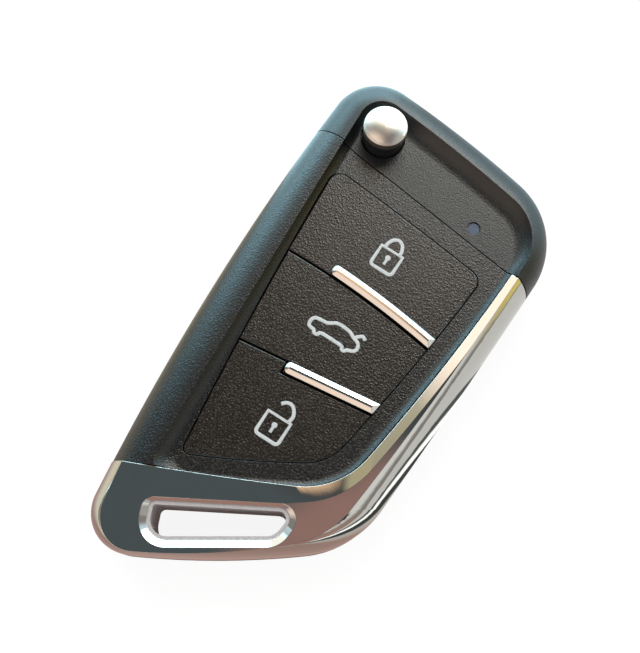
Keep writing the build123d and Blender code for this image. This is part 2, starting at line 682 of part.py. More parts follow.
def turned_cap():
    """Domed cap with a soft rim and a socket for the stem's spigot, turned about the Z axis."""
    rim_z = STEM_TOP_Z + RELEASE_CAP_HEIGHT
    socket, socket_top = SPIGOT_RADIUS + PRESS_FIT, STEM_TOP_Z + SPIGOT_HEIGHT + SEAT
    soft = RELEASE_CAP_ROUND
    shoulder_x = RELEASE_CAP_RADIUS - soft
    top = rim_z + RELEASE_DOME
    profile = Curve() + [
        ThreePointArc((0, 0, top), (shoulder_x / 2, 0, top - RELEASE_DOME * 0.25), (shoulder_x, 0, rim_z)),
        ThreePointArc(
            (shoulder_x, 0, rim_z),
            (shoulder_x + soft * 0.75, 0, rim_z - soft * 0.35),
            (RELEASE_CAP_RADIUS, 0, rim_z - soft),
        ),
        Line((RELEASE_CAP_RADIUS, 0, rim_z - soft), (RELEASE_CAP_RADIUS, 0, STEM_TOP_Z)),
        Line((RELEASE_CAP_RADIUS, 0, STEM_TOP_Z), (socket, 0, STEM_TOP_Z)),
        Line((socket, 0, STEM_TOP_Z), (socket, 0, socket_top)),
        Line((socket, 0, socket_top), (0, 0, socket_top)),
        Line((0, 0, socket_top), (0, 0, top)),
    ]
    return revolve(make_face(profile), Axis.Z)


def build_hub():
    """Rotor with its arm, bored for the spring and cut out for the blade's tang."""
    rotor = disc(0, 0, ROTOR_RADIUS, ARM_LOW, ARM_HIGH)
    rotor += disc(0, 0, BARREL_RADIUS, ARM_LOW, CEILING_Z - FIT)
    rotor += disc(0, 0, JOURNAL_RADIUS, ROTOR_BOTTOM, ARM_HIGH)
    arm = block(BLADE_LEFT, BLADE_RIGHT, -ARM_LENGTH, 0, ARM_LOW, ARM_HIGH)
    outer_corners = arm.edges().filter_by(Axis.Z).group_by(Axis.Y)
    arm = fillet(outer_corners[0], 1.0)
    rotor += arm
    rotor -= disc(0, 0, ROTOR_BORE, BORE_BOTTOM, FAR)
    rotor -= tang(PRESS_FIT, -FAR)
    rotor -= disc(BLADE_X, PIN_Y, PIN_RADIUS + SEAT, 0, FAR)
    write("flip_hub", rotor)
    write("blade_pin", disc(BLADE_X, PIN_Y, PIN_RADIUS, ARM_LOW, ARM_HIGH))


def tang(grow, foot_y):
    """Narrow root of the blade inside the arm, down to foot_y, grown by a clearance."""
    half = TANG_WIDTH / 2 + grow
    low, high = BLADE_LOW - grow, BLADE_HIGH + grow
    return block(BLADE_X - half, BLADE_X + half, foot_y, grow - TANG_START, low, high)


def build_blade():
    """Uncut blade blank with a groove down each face and a narrow tang."""
    tip_y = -BLADE_REACH
    taper_y = tip_y + BLADE_WIDTH / 2 - 0.8
    shank = make_face(
        Polyline(
            (BLADE_LEFT, -ARM_LENGTH - PRESS_FIT),
            (BLADE_RIGHT, -ARM_LENGTH - PRESS_FIT),
            (BLADE_RIGHT, taper_y),
            (BLADE_X + BLADE_TIP / 2, tip_y),
            (BLADE_X - BLADE_TIP / 2, tip_y),
            (BLADE_LEFT, taper_y),
            close=True,
        )
    )
    blade = prism(shank, BLADE_LOW, BLADE_HIGH) + tang(0, -ARM_LENGTH - 1)
    for low, high in (
        (BLADE_HIGH - BLADE_GROOVE_DEPTH, BLADE_HIGH + 1),
        (BLADE_LOW - 1, BLADE_LOW + BLADE_GROOVE_DEPTH),
    ):
        groove = block(
            BLADE_X - BLADE_GROOVE / 2, BLADE_X + BLADE_GROOVE / 2, -FAR, -ARM_LENGTH - 6, low, high
        )
        blade -= fillet(groove.edges().filter_by(Axis.Z), BLADE_GROOVE / 2 - 0.05)
    blade -= disc(BLADE_X, PIN_Y, PIN_RADIUS + SEAT, 0, FAR)
    write("key_blade", blade)


def build_release():
    """Release button: stem, cap and the coil spring under them."""
    stem = disc(0, 0, RELEASE_RADIUS, RELEASE_FLANGE_BOTTOM, STEM_TOP_Z)
    stem += disc(0, 0, RELEASE_FLANGE, RELEASE_FLANGE_BOTTOM, CEILING_Z - 0.25)
    stem += disc(0, 0, SPIGOT_RADIUS, STEM_TOP_Z, STEM_TOP_Z + SPIGOT_HEIGHT)
    write("release_stem", stem)
    write("release_cap", turned_cap())

    height = RELEASE_FLANGE_BOTTOM - BORE_BOTTOM - 2 * SPRING_WIRE - 0.02
    path = Helix(height / SPRING_TURNS, height, SPRING_RADIUS)
    profile = (path ^ 0) * Circle(SPRING_WIRE, align=(Align.CENTER, Align.CENTER))
    spring = Pos(0, 0, BORE_BOTTOM + SPRING_WIRE + 0.01) * sweep(profile, path=path)
    write("flip_spring", spring)


def chip(size, at, z_low):
    """Small boxy component, centred on its place."""
    return Pos(*at, z_low) * Box(*size, align=(Align.CENTER, Align.CENTER, Align.MIN))


def build_board():
    """Circuit board, the switches on it with their plungers, and its larger components."""
    board = prism(polygon(BOARD_HEAD + BOARD_FOOT, BOARD_CORNER), BOARD_Z, BOARD_TOP)
    write("circuit_board", board)
    plunger_low = BOARD_TOP + FIT
    for name, place in SWITCH_PLACES.items():
        case = chip((*SWITCH_SIZE, SWITCH_HEIGHT), place, BOARD_TOP)
        case = chamfer(case.edges().filter_by(Axis.Z), 0.5)
        case -= disc(*place, PLUNGER_RADIUS + FIT, plunger_low, FAR)
        write(f"switch_{name}", case)
        plunger = disc(*place, PLUNGER_RADIUS, plunger_low + KEY_TRAVEL, PLUNGER_TOP)
        write(f"plunger_{name}", plunger)

    control = chip(CONTROL_CHIP, CONTROL_CHIP_AT, BOARD_TOP)
    write("control_chip", chamfer(control.faces().sort_by(Axis.Z)[-1].edges(), 0.15))
    can = Pos(*CRYSTAL_AT) * SlotOverall(CRYSTAL[1], CRYSTAL[0], 90)
    write("crystal", prism(can, BOARD_TOP, BOARD_TOP + CRYSTAL[2]))
    rim_x, rim_y, floor = COIL_RIM
    well = (COIL[0] - 2 * rim_x, COIL[1] - 2 * rim_y, COIL[2])
    write("antenna_coil", chip(COIL, COIL_AT, BOARD_TOP) - chip(well, COIL_AT, BOARD_TOP + floor))


def build_light():
    """Light source on the board and the flanged window over it."""
    write("led_chip", chip(LED_CHIP, (LED_X, LED_Y), BOARD_TOP))
    guide = disc(LED_X, LED_Y, LED_RADIUS, BOARD_TOP + LED_CHIP[2] + 0.1, FLAT_Z - LED_RECESS)
    guide += disc(LED_X, LED_Y, LED_FLANGE, CEILING_Z - 0.8, CEILING_Z - SEAT)
    write("led_window", guide)


def build_battery():
    """Coin cell, the sprung ring that touches its face and the clip that touches its side."""
    cell_top = CELL_Z + CELL_HEIGHT
    cell = disc(CELL_X, CELL_Y, CELL_RADIUS, CELL_Z, cell_top - CELL_STEP)
    cell = fillet(cell.edges().group_by(Axis.Z)[0], 0.4)
    cell += disc(CELL_X, CELL_Y, CELL_RADIUS - CELL_RIM, cell_top - CELL_STEP, cell_top)
    write("battery", cell)

    ring = disc(CELL_X, CELL_Y, CONTACT_OUTER, BOARD_Z - CONTACT_SHEET, BOARD_Z)
    ring -= disc(CELL_X, CELL_Y, CONTACT_INNER, 0, FAR)
    finger_depth, finger_width = CONTACT_FINGER
    finger_x = CONTACT_INNER + 0.1
    finger = block(
        finger_x, finger_x + finger_depth, -finger_width / 2, finger_width / 2, cell_top + SEAT, BOARD_Z
    )
    for angle in (0, 120, 240):
        ring += Pos(CELL_X, CELL_Y, 0) * Rot(0, 0, angle) * finger
    write("battery_contact", ring)

    outer = CELL_X + CELL_RADIUS + SEAT + CLIP_SHEET
    inner = outer - CLIP_SHEET - CLIP_REACH
    tab_low = cell_top + 0.25
    tab_high = tab_low + CLIP_SHEET
    low_y, high_y = CELL_Y - CLIP_WIDTH / 2, CELL_Y + CLIP_WIDTH / 2
    clip = block(outer - CLIP_SHEET, outer, low_y, high_y, CELL_Z + 0.6, tab_high)
    clip += block(inner, outer, low_y, high_y, tab_low, tab_high)
    clip += block(inner, inner + 0.8, low_y + 1, high_y - 1, tab_low, BOARD_Z)
    write("battery_clip", clip)


def build_hardware():
    """Transponder capsule in the head and the screws that close the case."""
    x, y, z = CAPSULE_AT
    capsule = Pos(x, y, z) * Rot(0, 90, 0) * Cylinder(
        CAPSULE_RADIUS, CAPSULE_LENGTH, align=(Align.CENTER, Align.CENTER, Align.MIN)
    )
    write("transponder", fillet(capsule.edges().filter_by(GeomType.CIRCLE), CAPSULE_RADIUS * 0.8))
    screws = []
    for x, y in SCREW_PLACES:
        low = SCREW_HEAD_Z
        screw = disc(x, y, SCREW_HEAD_RADIUS, low, low + SCREW_HEAD_HEIGHT)
        screw = fillet(screw.edges().group_by(Axis.Z)[0], 0.35)
        screw += disc(x, y, SCREW_SHANK_RADIUS, low, SCREW_TIP_Z)
        for turn in (0, 90):
            screw -= Pos(x, y, low) * Rot(0, 0, turn) * Box(2.0, 0.5, 1.2)
        screws.append(screw)
    write("case_screws", Compound(children=screws))


build_front()
build_rear()
build_sleeve()
build_keys()
build_hub()
build_blade()
build_release()
build_board()
build_light()
build_battery()
build_hardware()
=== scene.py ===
"""Looks of the folding key fob: finishes, signs on the keys, light, floor and camera."""

import json
import math

import bpy
from mathutils import Euler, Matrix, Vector


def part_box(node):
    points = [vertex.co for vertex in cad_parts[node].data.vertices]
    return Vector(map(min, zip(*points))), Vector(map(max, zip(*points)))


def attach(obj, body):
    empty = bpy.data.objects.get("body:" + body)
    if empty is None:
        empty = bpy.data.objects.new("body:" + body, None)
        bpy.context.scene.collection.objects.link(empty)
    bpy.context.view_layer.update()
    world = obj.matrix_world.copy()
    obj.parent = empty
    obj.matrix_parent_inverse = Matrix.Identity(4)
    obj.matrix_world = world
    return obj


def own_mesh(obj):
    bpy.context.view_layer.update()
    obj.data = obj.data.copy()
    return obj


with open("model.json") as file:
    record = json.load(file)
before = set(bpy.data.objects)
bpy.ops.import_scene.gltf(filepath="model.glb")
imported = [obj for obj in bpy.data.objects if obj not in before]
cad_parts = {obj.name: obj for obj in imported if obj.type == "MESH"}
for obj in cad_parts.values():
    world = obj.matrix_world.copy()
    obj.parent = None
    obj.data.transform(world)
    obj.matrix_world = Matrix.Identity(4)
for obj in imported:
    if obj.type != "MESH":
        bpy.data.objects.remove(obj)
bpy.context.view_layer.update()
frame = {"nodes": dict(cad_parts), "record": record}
nodes = frame["nodes"]

# Lengths below are in millimetres and angles in degrees, unless a name says otherwise
MM = 0.001

# Camera: close above the foot end, turned so that the head points to the upper right
EYE = Vector((18.63, -63.08, 144.2)) * MM
EYE_ANGLES = (15.296, -2.761, 29.953)
FOCAL_PIXELS = 1000
FRAME_HEIGHT = 653
SENSOR = 36.0
CLIP_NEAR_M = 0.005
CLIP_FAR_M = 10.0

# Moulded grain: painted shade in its valleys and painted highlight on its crowns, distances in a cell over
# which the painted light and the relief fall, strength of its two reliefs, and the fine relief's size and
# depth as shares of the coarse one's
VALLEY_PAINTED_SHADE = 0.6
CROWN_PAINTED_HIGHLIGHT = 1.4
CROWN_LIMITS = (0.1, 0.55)
PEBBLE_LIMITS = (0.0, 0.7)
PEBBLE_STRENGTH = 0.7
FINE_STRENGTH = 0.65
FINE_SIZE_SHARE = 0.8
FINE_DEPTH_SHARE = 0.7
GRAIN_GLOSS_SPREAD = 0.07
TONE_SIZE = 9.0
# Patch size and edge radius of the lighter edges, which are partly wear and partly a painted highlight
WEAR_AND_HIGHLIGHT_SIZE = 2.5
WEAR_AND_HIGHLIGHT_RADIUS = 0.14
GRAINED_EDGE = 0.12

# Plating: how much darker its haze is, how much duller, and its faint unevenness
HAZE_SIZE = 5.0
HAZE_SHADE = 0.94
HAZE_DULLNESS = 0.035
UNEVEN_SIZE = 0.5
UNEVEN_STRENGTH = 0.05
UNEVEN_DEPTH = 0.01
PLATED_EDGE = 0.1

# Inner pieces
INNER_EDGE = 0.06
INNER_RELIEF_STRENGTH = 0.4
INNER_GLOSSIER = 0.06
INNER_DULLER = 0.08

# Circuit board: spacing and half width of its tracks, spacing and size of its pads
TRACK_CELL = 2.4
TRACK_REPEAT = 0.12
TRACK_LIMITS = (0.055, 0.07)
PAD_CELL = 3.1
PAD_LIMITS = (0.1, 0.12)

# Rounded edges: samples, and the agreement with the surface's own normal over which wear fades
BEVEL_SAMPLES = 6
EDGE_LIMITS = (0.75, 0.99)

# Signs on the keys; a place is the turn and the centre of the body of a padlock
SIGN_STROKE = 0.52
SIGN_HEIGHT = 0.035
SIGN_SINK = 0.01
SIGN_BEVEL_STEPS = 3
CURVE_STEPS = 4
LOCK_PLACE = (-3, 9.4, -16.05)
UNLOCK_PLACE = (-2.5, 7.78, -44.12)
LOCK_SIZE = (3.4, 3.2)
UNLOCK_SIZE = (3.5, 3.35)
LOCK_CORNER = 0.5
KEYHOLE_HEIGHT = 0.42
KEYHOLE_RADIUS = 0.19
KEYHOLE_STROKE = 0.44
KEYHOLE_STEM = ((0, 0.3), (0, -0.7))
STEM_STROKE = 0.42

# Middle lines of the signs: the two shackles, about the padlock's centre, and the car with its open boot
SHUT_SHACKLE = [(-1.18, 1.6), (-1.12, 2.3), (-0.72, 3.1), (0, 3.45), (0.72, 3.1), (1.12, 2.3), (1.18, 1.6)]
OPEN_SHACKLE = [(1.3, 1.67), (1.48, 2.5), (1.28, 3.15), (0.8, 3.75), (0.22, 3.95), (-0.38, 3.75), (-0.8, 3.3)]
CAR_BODY = [
    (4.7, -28.97), (4.8, -28.47), (5.18, -28.16), (5.99, -28.06), (6.86, -28.0), (7.4, -27.7),
    (7.95, -27.4), (8.62, -27.33), (9.5, -27.42), (10.24, -27.6), (10.91, -28.0), (11.52, -28.22),
    (11.95, -28.56), (12.11, -29.1), (11.92, -29.58), (11.45, -29.82), (11.05, -29.95), (10.64, -30.3),
    (10.3, -30.22), (10.04, -29.85), (8.42, -29.71), (6.75, -29.68), (6.5, -30.05), (6.19, -30.15),
    (5.88, -30.05), (5.69, -29.75), (5.11, -29.64), (4.8, -29.44),
]
CAR_LID = [(11.05, -27.92), (11.45, -27.55), (11.85, -27.25), (12.15, -27.3), (12.5, -27.55)]

# Nodes whose finish is a variant of the one that their slot names
FINER_FINISH = {"head_cover": "case_black_fine", "release_cap": "bright_chrome_soft"}

# World and floor
WORLD_FILL = 0.45
FLOOR_SIZE_M = 3.0
FLOOR_DROP = 0.02
FLOOR_TONE = 0.20
FLOOR_TONE_SPREAD = 1.03
FLOOR_TONE_SIZE = 120
FLOOR_GLOW = 0.89

# Lamps: name, azimuth and elevation they shine from, strength, spread, colour
LAMPS = (
    ("key_lamp", 130, 50, 1.0, 45, (1.0, 1.0, 1.0)),
    ("fill_lamp", -30, 50, 0.35, 60, (1.0, 0.98, 0.95)),
)

# Room that the object reflects. Each patch is azimuth, elevation, the angles at which it is full
# and gone, and its colour; later ones lie over earlier ones
DOME_RADIUS_M = 1.2
DOME_SEGMENTS = 48
DOME_RINGS = 24
WAVE_SCALE = 2.2
WAVE_DETAIL = 3.0
DOME_BASE = (0.33, 0.32, 0.30)
DOME_WOBBLE = 0.1
DOME_PATCHES = (
    (0, 90, 28, 42, (0.07, 0.08, 0.085)),  # dark ceiling
    (104, 66, 3, 9, (2.2, 1.45, 0.9)),  # warm edge of the window
    (92, 41, 21, 25, (8.9, 8.6, 8.0)),  # window
    (132, 12, 28, 44, (3.6, 6.0, 7.0)),  # cool light along the left flank
    (250, 46, 24, 34, (1.4, 1.14, 0.96)),  # warm wall
    (60, 8, 26, 40, (1.7, 2.4, 2.7)),  # cool light on the head
    (148, 38, 12, 20, (1.6, 1.6, 1.5)),  # pale patches in the bright trim
    (119, 56, 6, 9, (0.85, 0.70, 0.50)),
    (145, 63, 7, 10, (0.62, 0.56, 0.36)),
    (131, 53, 8, 11, (1.9, 1.6, 1.35)),
    (0, 35, 10, 24, (0.95, 0.95, 0.92)),
    (30, 14, 12, 18, (1.0, 0.82, 0.22)),  # yellow streak
    (-14, 42, 4, 7, (0.05, 0.06, 0.06)),  # dark and bright bars low on the right flank
    (-27, 38, 4, 6, (2.2, 2.2, 2.1)),
    (-38, 40, 3, 5, (0.06, 0.06, 0.06)),
    (310, -5, 25, 50, (0.50, 0.29, 0.24)),  # rosy foot
    (170, 83, 10, 14, (0.10, 0.125, 0.135)),
    (0, 82, 8, 11, (0.42, 0.25, 0.22)),
)
GROUND_BASE = (0.7, 0.68, 0.62)
GROUND_WOBBLE = 0.15
GROUND_PATCHES = (
    (145, 0, 42, 58, (1.6, 2.5, 2.8)),  # cool left
    (45, 0, 25, 45, (0.9, 1.15, 1.25)),
    (230, 0, 14, 19, (0.95, 0.86, 0.66)),  # warm foot
    (277, 0, 24, 30, (0.46, 0.31, 0.27)),
    (350, 0, 25, 50, (0.80, 0.80, 0.77)),  # grey right
    (311, 0, 3, 5, (0.06, 0.07, 0.07)),  # dark and bright bars
    (319, 0, 2, 4, (1.8, 1.8, 1.75)),
    (325, 0, 2, 4, (0.10, 0.12, 0.12)),
)


def new_material(name):
    """Material with a Principled shader, its node tree and the shader."""
    material = bpy.data.materials.new(name)
    material.use_nodes = True
    shader = material.node_tree.nodes["Principled BSDF"]
    return material, material.node_tree, shader


def shaded(colour, share):
    """Colour made darker or lighter by a share."""
    return tuple(channel * share for channel in colour)


def texture(tree, kind, size, detail, roughness, **settings):
    """Noise or Voronoi texture whose features are about size across, in object space."""
    coords = tree.nodes.new("ShaderNodeTexCoord")
    node = tree.nodes.new(kind)
    node.inputs["Scale"].default_value = 1 / (size * MM)
    node.inputs["Detail"].default_value = detail
    node.inputs["Roughness"].default_value = roughness
    for key, value in settings.items():
        setattr(node, key, value)
    tree.links.new(coords.outputs["Object"], node.inputs["Vector"])
    return node


def noise(tree, size, detail=2.0, roughness=0.5):
    """Value of a noise texture."""
    return texture(tree, "ShaderNodeTexNoise", size, detail, roughness).outputs["Fac"]


def cells(tree, size, **settings):
    """Distance value of a Voronoi texture."""
    return texture(tree, "ShaderNodeTexVoronoi", size, 1.0, 0.5, **settings).outputs["Distance"]


def remap(tree, value, low, high, from_low=0.3, from_high=0.7):
    """Value stretched from one range to another."""
    node = tree.nodes.new("ShaderNodeMapRange")
    node.inputs["From Min"].default_value = from_low
    node.inputs["From Max"].default_value = from_high
    node.inputs["To Min"].default_value = low
    node.inputs["To Max"].default_value = high
    tree.links.new(value, node.inputs["Value"])
    return node.outputs["Result"]


def mix_colours(tree, value, colour_a, colour_b):
    """Mix of two colours, each a tuple or a socket."""
    node = tree.nodes.new("ShaderNodeMix")
    node.data_type = "RGBA"
    tree.links.new(value, node.inputs["Factor"])
    for socket, colour in ((node.inputs["A"], colour_a), (node.inputs["B"], colour_b)):
        if isinstance(colour, tuple):
            socket.default_value = (*colour, 1)
        else:
            tree.links.new(colour, socket)
    return node.outputs["Result"]


def math_node(tree, operation, first, second):
    """Result of a math node; the second input is a number or a socket."""
    node = tree.nodes.new("ShaderNodeMath")
    node.operation = operation
    tree.links.new(first, node.inputs[0])
    if isinstance(second, float):
        node.inputs[1].default_value = second
    else:
        tree.links.new(second, node.inputs[1])
    return node.outputs["Value"]


def vector_node(tree, operation, *values):
    """Vector math node; each value is a vector or a socket."""
    node = tree.nodes.new("ShaderNodeVectorMath")
    node.operation = operation
    for socket, value in zip(node.inputs, values):
        if isinstance(value, bpy.types.NodeSocket):
            tree.links.new(value, socket)
        else:
            socket.default_value = value
    return node


def bump(tree, height, strength, distance, below=None):
    """Bump from a height socket, on top of another normal."""
    node = tree.nodes.new("ShaderNodeBump")
    node.inputs["Strength"].default_value = strength
    node.inputs["Distance"].default_value = distance * MM
    tree.links.new(height, node.inputs["Height"])
    if below is not None:
        tree.links.new(below, node.inputs["Normal"])
    return node.outputs["Normal"]


def soft_edges(tree, radius):
    """Normal rounded over edges."""
    bevel = tree.nodes.new("ShaderNodeBevel")
    bevel.samples = BEVEL_SAMPLES
    bevel.inputs["Radius"].default_value = radius * MM
    return bevel.outputs["Normal"]


def edge_mask(tree, radius):
    """High along edges, where the rounded normal leaves the surface's own."""
    normal = tree.nodes.new("ShaderNodeNewGeometry").outputs["Normal"]
    dot = vector_node(tree, "DOT_PRODUCT", soft_edges(tree, radius), normal)
    return remap(tree, dot.outputs["Value"], 1.0, 0.0, *EDGE_LIMITS)


def finish_inputs(tree, shader, colour, roughness, normal):
    """Link the three sockets that every finish drives."""
    tree.links.new(colour, shader.inputs["Base Color"])
    tree.links.new(roughness, shader.inputs["Roughness"])
    tree.links.new(normal, shader.inputs["Normal"])


def grained_plastic(name, dark, light, grain, depth, roughness, edge_wear_and_highlight_colour, wear_and_highlight):
    """Moulded plastic with a leather-like grain, colour that varies at random, painted shade in the grain's
    valleys and a painted highlight on its crowns, and lighter edges that are partly wear and partly a painted
    highlight.
    """
    material, tree, shader = new_material(name)
    distance = cells(tree, grain, feature="SMOOTH_F1")
    fine = noise(tree, grain * FINE_SIZE_SHARE, 3.0, 0.65)
    tone = remap(tree, noise(tree, TONE_SIZE, 3.0, 0.6), 0, 1)
    # Valleys of the grain get a painted shade and its crowns a painted highlight, following the relief's
    # cells
    valley_painted_shade = mix_colours(tree, tone, shaded(dark, VALLEY_PAINTED_SHADE), shaded(light, VALLEY_PAINTED_SHADE))
    crown_painted_highlight = mix_colours(tree, tone, shaded(dark, CROWN_PAINTED_HIGHLIGHT), shaded(light, CROWN_PAINTED_HIGHLIGHT))
    colour = mix_colours(tree, remap(tree, distance, 1, 0, *CROWN_LIMITS), valley_painted_shade, crown_painted_highlight)
    # Lighter edges: partly wear, partly a painted highlight along the edges, broken up in patches
    patches = remap(tree, noise(tree, WEAR_AND_HIGHLIGHT_SIZE, 4.0, 0.7), 0, wear_and_highlight)
    worn = math_node(tree, "MULTIPLY", edge_mask(tree, WEAR_AND_HIGHLIGHT_RADIUS), patches)
    pebble = remap(tree, distance, 1, 0, *PEBBLE_LIMITS)
    pebbled = bump(tree, pebble, PEBBLE_STRENGTH, depth, soft_edges(tree, GRAINED_EDGE))
    finish_inputs(
        tree,
        shader,
        mix_colours(tree, worn, colour, edge_wear_and_highlight_colour),
        remap(tree, fine, roughness - GRAIN_GLOSS_SPREAD, roughness + GRAIN_GLOSS_SPREAD),
        bump(tree, fine, FINE_STRENGTH, depth * FINE_DEPTH_SHARE, pebbled),
    )
    return material


def plated(name, colour, roughness):
    """Bright plating over moulded plastic: near mirror, with faint haze and a barely uneven face."""
    material, tree, shader = new_material(name)
    shader.inputs["Metallic"].default_value = 1.0
    haze = noise(tree, HAZE_SIZE, 4.0, 0.65)
    uneven = noise(tree, UNEVEN_SIZE)
    finish_inputs(
        tree,
        shader,
        mix_colours(tree, remap(tree, haze, 0, 1), colour, shaded(colour, HAZE_SHADE)),
        remap(tree, haze, roughness, roughness + HAZE_DULLNESS),
        bump(tree, uneven, UNEVEN_STRENGTH, UNEVEN_DEPTH, soft_edges(tree, PLATED_EDGE)),
    )
    return material


def plain(name, dark, light, roughness, metallic=0.0, size=0.6, relief=0.01, streaks=None):
    """Finish of an inner piece: two tones in a noise, uneven roughness and a slight relief."""
    material, tree, shader = new_material(name)
    shader.inputs["Metallic"].default_value = metallic
    grain = texture(tree, "ShaderNodeTexNoise", size, 4.0, 0.6)
    if streaks:
        mapping = tree.nodes.new("ShaderNodeMapping")
        mapping.inputs["Scale"].default_value = streaks
        tree.links.new(grain.inputs["Vector"].links[0].from_socket, mapping.inputs["Vector"])
        tree.links.new(mapping.outputs["Vector"], grain.inputs["Vector"])
    value = grain.outputs["Fac"]
    finish_inputs(
        tree,
        shader,
        mix_colours(tree, remap(tree, value, 0, 1), dark, light),
        remap(tree, value, roughness - INNER_GLOSSIER, roughness + INNER_DULLER),
        bump(tree, value, INNER_RELIEF_STRENGTH, relief, soft_edges(tree, INNER_EDGE)),
    )
    return material


def board_finish():
    """Green mask with tracks that show through as lighter lines and small gold pads."""
    material, tree, shader = new_material("board_green")
    squares = cells(tree, TRACK_CELL, distance="CHEBYCHEV", feature="F1")
    lines = math_node(tree, "PINGPONG", squares, TRACK_REPEAT)
    track = remap(tree, lines, 0, 1, *TRACK_LIMITS)
    mask = mix_colours(tree, track, (0.008, 0.07, 0.03), (0.02, 0.16, 0.07))
    pad = remap(tree, cells(tree, PAD_CELL, feature="F1"), 1, 0, *PAD_LIMITS)
    finish_inputs(
        tree,
        shader,
        mix_colours(tree, pad, mask, (0.7, 0.52, 0.2)),
        remap(tree, noise(tree, 1.5), 0.3, 0.42),
        bump(tree, track, 0.4, 0.03),
    )
    return material


def window_finish():
    """Slate translucent window with a faint cloudiness."""
    material, tree, shader = new_material("window_slate")
    shader.inputs["Transmission Weight"].default_value = 0.1
    shader.inputs["IOR"].default_value = 1.49
    cloud = noise(tree, 0.5, 3.0, 0.6)
    finish_inputs(
        tree,
        shader,
        mix_colours(tree, remap(tree, cloud, 0, 1), (0.05, 0.075, 0.12), (0.06, 0.09, 0.14)),
        remap(tree, cloud, 0.46, 0.54),
        bump(tree, cloud, 0.1, 0.004),
    )
    return material


def sign_finish():
    """Pale printed ink, slightly uneven."""
    material, tree, shader = new_material("sign_grey")
    worn = noise(tree, 0.35, 3.0, 0.6)
    finish_inputs(
        tree,
        shader,
        mix_colours(tree, remap(tree, worn, 0, 1), (0.62, 0.66, 0.66), (0.78, 0.82, 0.82)),
        remap(tree, worn, 0.42, 0.55),
        bump(tree, worn, 0.3, 0.01),
    )
    return material


def make_finishes():
    """Finish for each material slot of the record, and two variants."""
    # Edge colours below are partly wear and partly a painted highlight along the edges
    grained = {
        "case_black": dict(
            dark=(0.0045, 0.006, 0.007),
            light=(0.007, 0.009, 0.010),
            grain=0.27,
            depth=0.05,
            roughness=0.28,
            edge_wear_and_highlight_colour=(0.08, 0.09, 0.10),
            wear_and_highlight=0.35,
        ),
        "case_black_fine": dict(
            dark=(0.007, 0.009, 0.010),
            light=(0.010, 0.012, 0.013),
            grain=0.24,
            depth=0.035,
            roughness=0.37,
            edge_wear_and_highlight_colour=(0.08, 0.09, 0.10),
            wear_and_highlight=0.3,
        ),
        "key_black": dict(
            dark=(0.009, 0.0066, 0.0042),
            light=(0.014, 0.0102, 0.0066),
            grain=0.30,
            depth=0.055,
            roughness=0.26,
            edge_wear_and_highlight_colour=(0.11, 0.105, 0.095),
            wear_and_highlight=0.4,
        ),
    }
    bright = {
        "bright_chrome": ((0.62, 0.61, 0.585), 0.035),
        "bright_chrome_soft": ((0.70, 0.67, 0.62), 0.30),
    }
    # two tones, roughness, and from there metallic, size, relief and streaks where they differ from plain's
    simple = {
        "sleeve_grey": ((0.52, 0.49, 0.495), (0.62, 0.585, 0.59), 0.62, 0.0, 0.4),
        "stem_black": ((0.012, 0.012, 0.013), (0.02, 0.02, 0.022), 0.32),
        "hub_zinc": ((0.03, 0.03, 0.032), (0.05, 0.05, 0.052), 0.42, 0.0, 0.35, 0.03),
        "blade_steel": ((0.50, 0.49, 0.46), (0.62, 0.61, 0.58), 0.28, 1.0, 0.3, 0.006, (6.0, 0.25, 6.0)),
        "spring_steel": ((0.40, 0.40, 0.40), (0.55, 0.55, 0.54), 0.3, 1.0, 0.2),
        "chip_black": ((0.016, 0.016, 0.017), (0.03, 0.03, 0.03), 0.55, 0.0, 0.2),
        "plunger_white": ((0.62, 0.61, 0.57), (0.74, 0.73, 0.70), 0.45),
        "can_steel": ((0.55, 0.55, 0.53), (0.68, 0.68, 0.66), 0.26, 1.0, 0.5, 0.008, (1.0, 8.0, 1.0)),
        "contact_nickel": ((0.58, 0.56, 0.50), (0.70, 0.68, 0.61), 0.3, 1.0, 0.5),
        "screw_steel": ((0.20, 0.20, 0.205), (0.33, 0.33, 0.34), 0.36, 1.0, 0.3, 0.02),
    }
    finishes = {name: grained_plastic(name, **values) for name, values in grained.items()}
    finishes.update((name, plated(name, *values)) for name, values in bright.items())
    finishes.update((name, plain(name, *values)) for name, values in simple.items())
    finishes["board_green"] = board_finish()
    finishes["window_slate"] = window_finish()
    return finishes


def dress_nodes(finishes):
    """Give every node the finish of its slot in the record."""
    for row in frame["record"]["subparts"]:
        node = nodes[row["node"]]
        node.data.materials.clear()
        finish = FINER_FINISH.get(row["node"], row["material_slot"])
        node.data.materials.append(finishes[finish])


def compress_spring():
    """Give the coil spring a mesh of its own; the spring is not shortened here."""
    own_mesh(nodes["flip_spring"])


def arc(cx, cy, radius, start, end, steps):
    """Points along an arc."""
    angles = [math.radians(start + (end - start) * i / steps) for i in range(steps + 1)]
    return [(cx + radius * math.cos(angle), cy + radius * math.sin(angle)) for angle in angles]


def smooth(points, closed):
    """Points of a smooth curve that passes through all the given points."""
    count = len(points)
    result = []
    for i in range(count if closed else count - 1):
        quad = [points[(i + k) % count if closed else min(max(i + k, 0), count - 1)] for k in (-1, 0, 1, 2)]
        for step in range(CURVE_STEPS):
            t = step / CURVE_STEPS
            shares = (
                (-t + 2 * t**2 - t**3) / 2,
                (2 - 5 * t**2 + 3 * t**3) / 2,
                (t + 4 * t**2 - 3 * t**3) / 2,
                (t**3 - t**2) / 2,
            )
            x, y = (sum(share * point[axis] for share, point in zip(shares, quad)) for axis in (0, 1))
            result.append((x, y))
    return result if closed else result + [points[-1]]


def turned(points, angle, cx, cy):
    """Points turned about a centre and moved there."""
    c, s = math.cos(math.radians(angle)), math.sin(math.radians(angle))
    return [(cx + x * c - y * s, cy + x * s + y * c) for x, y in points]


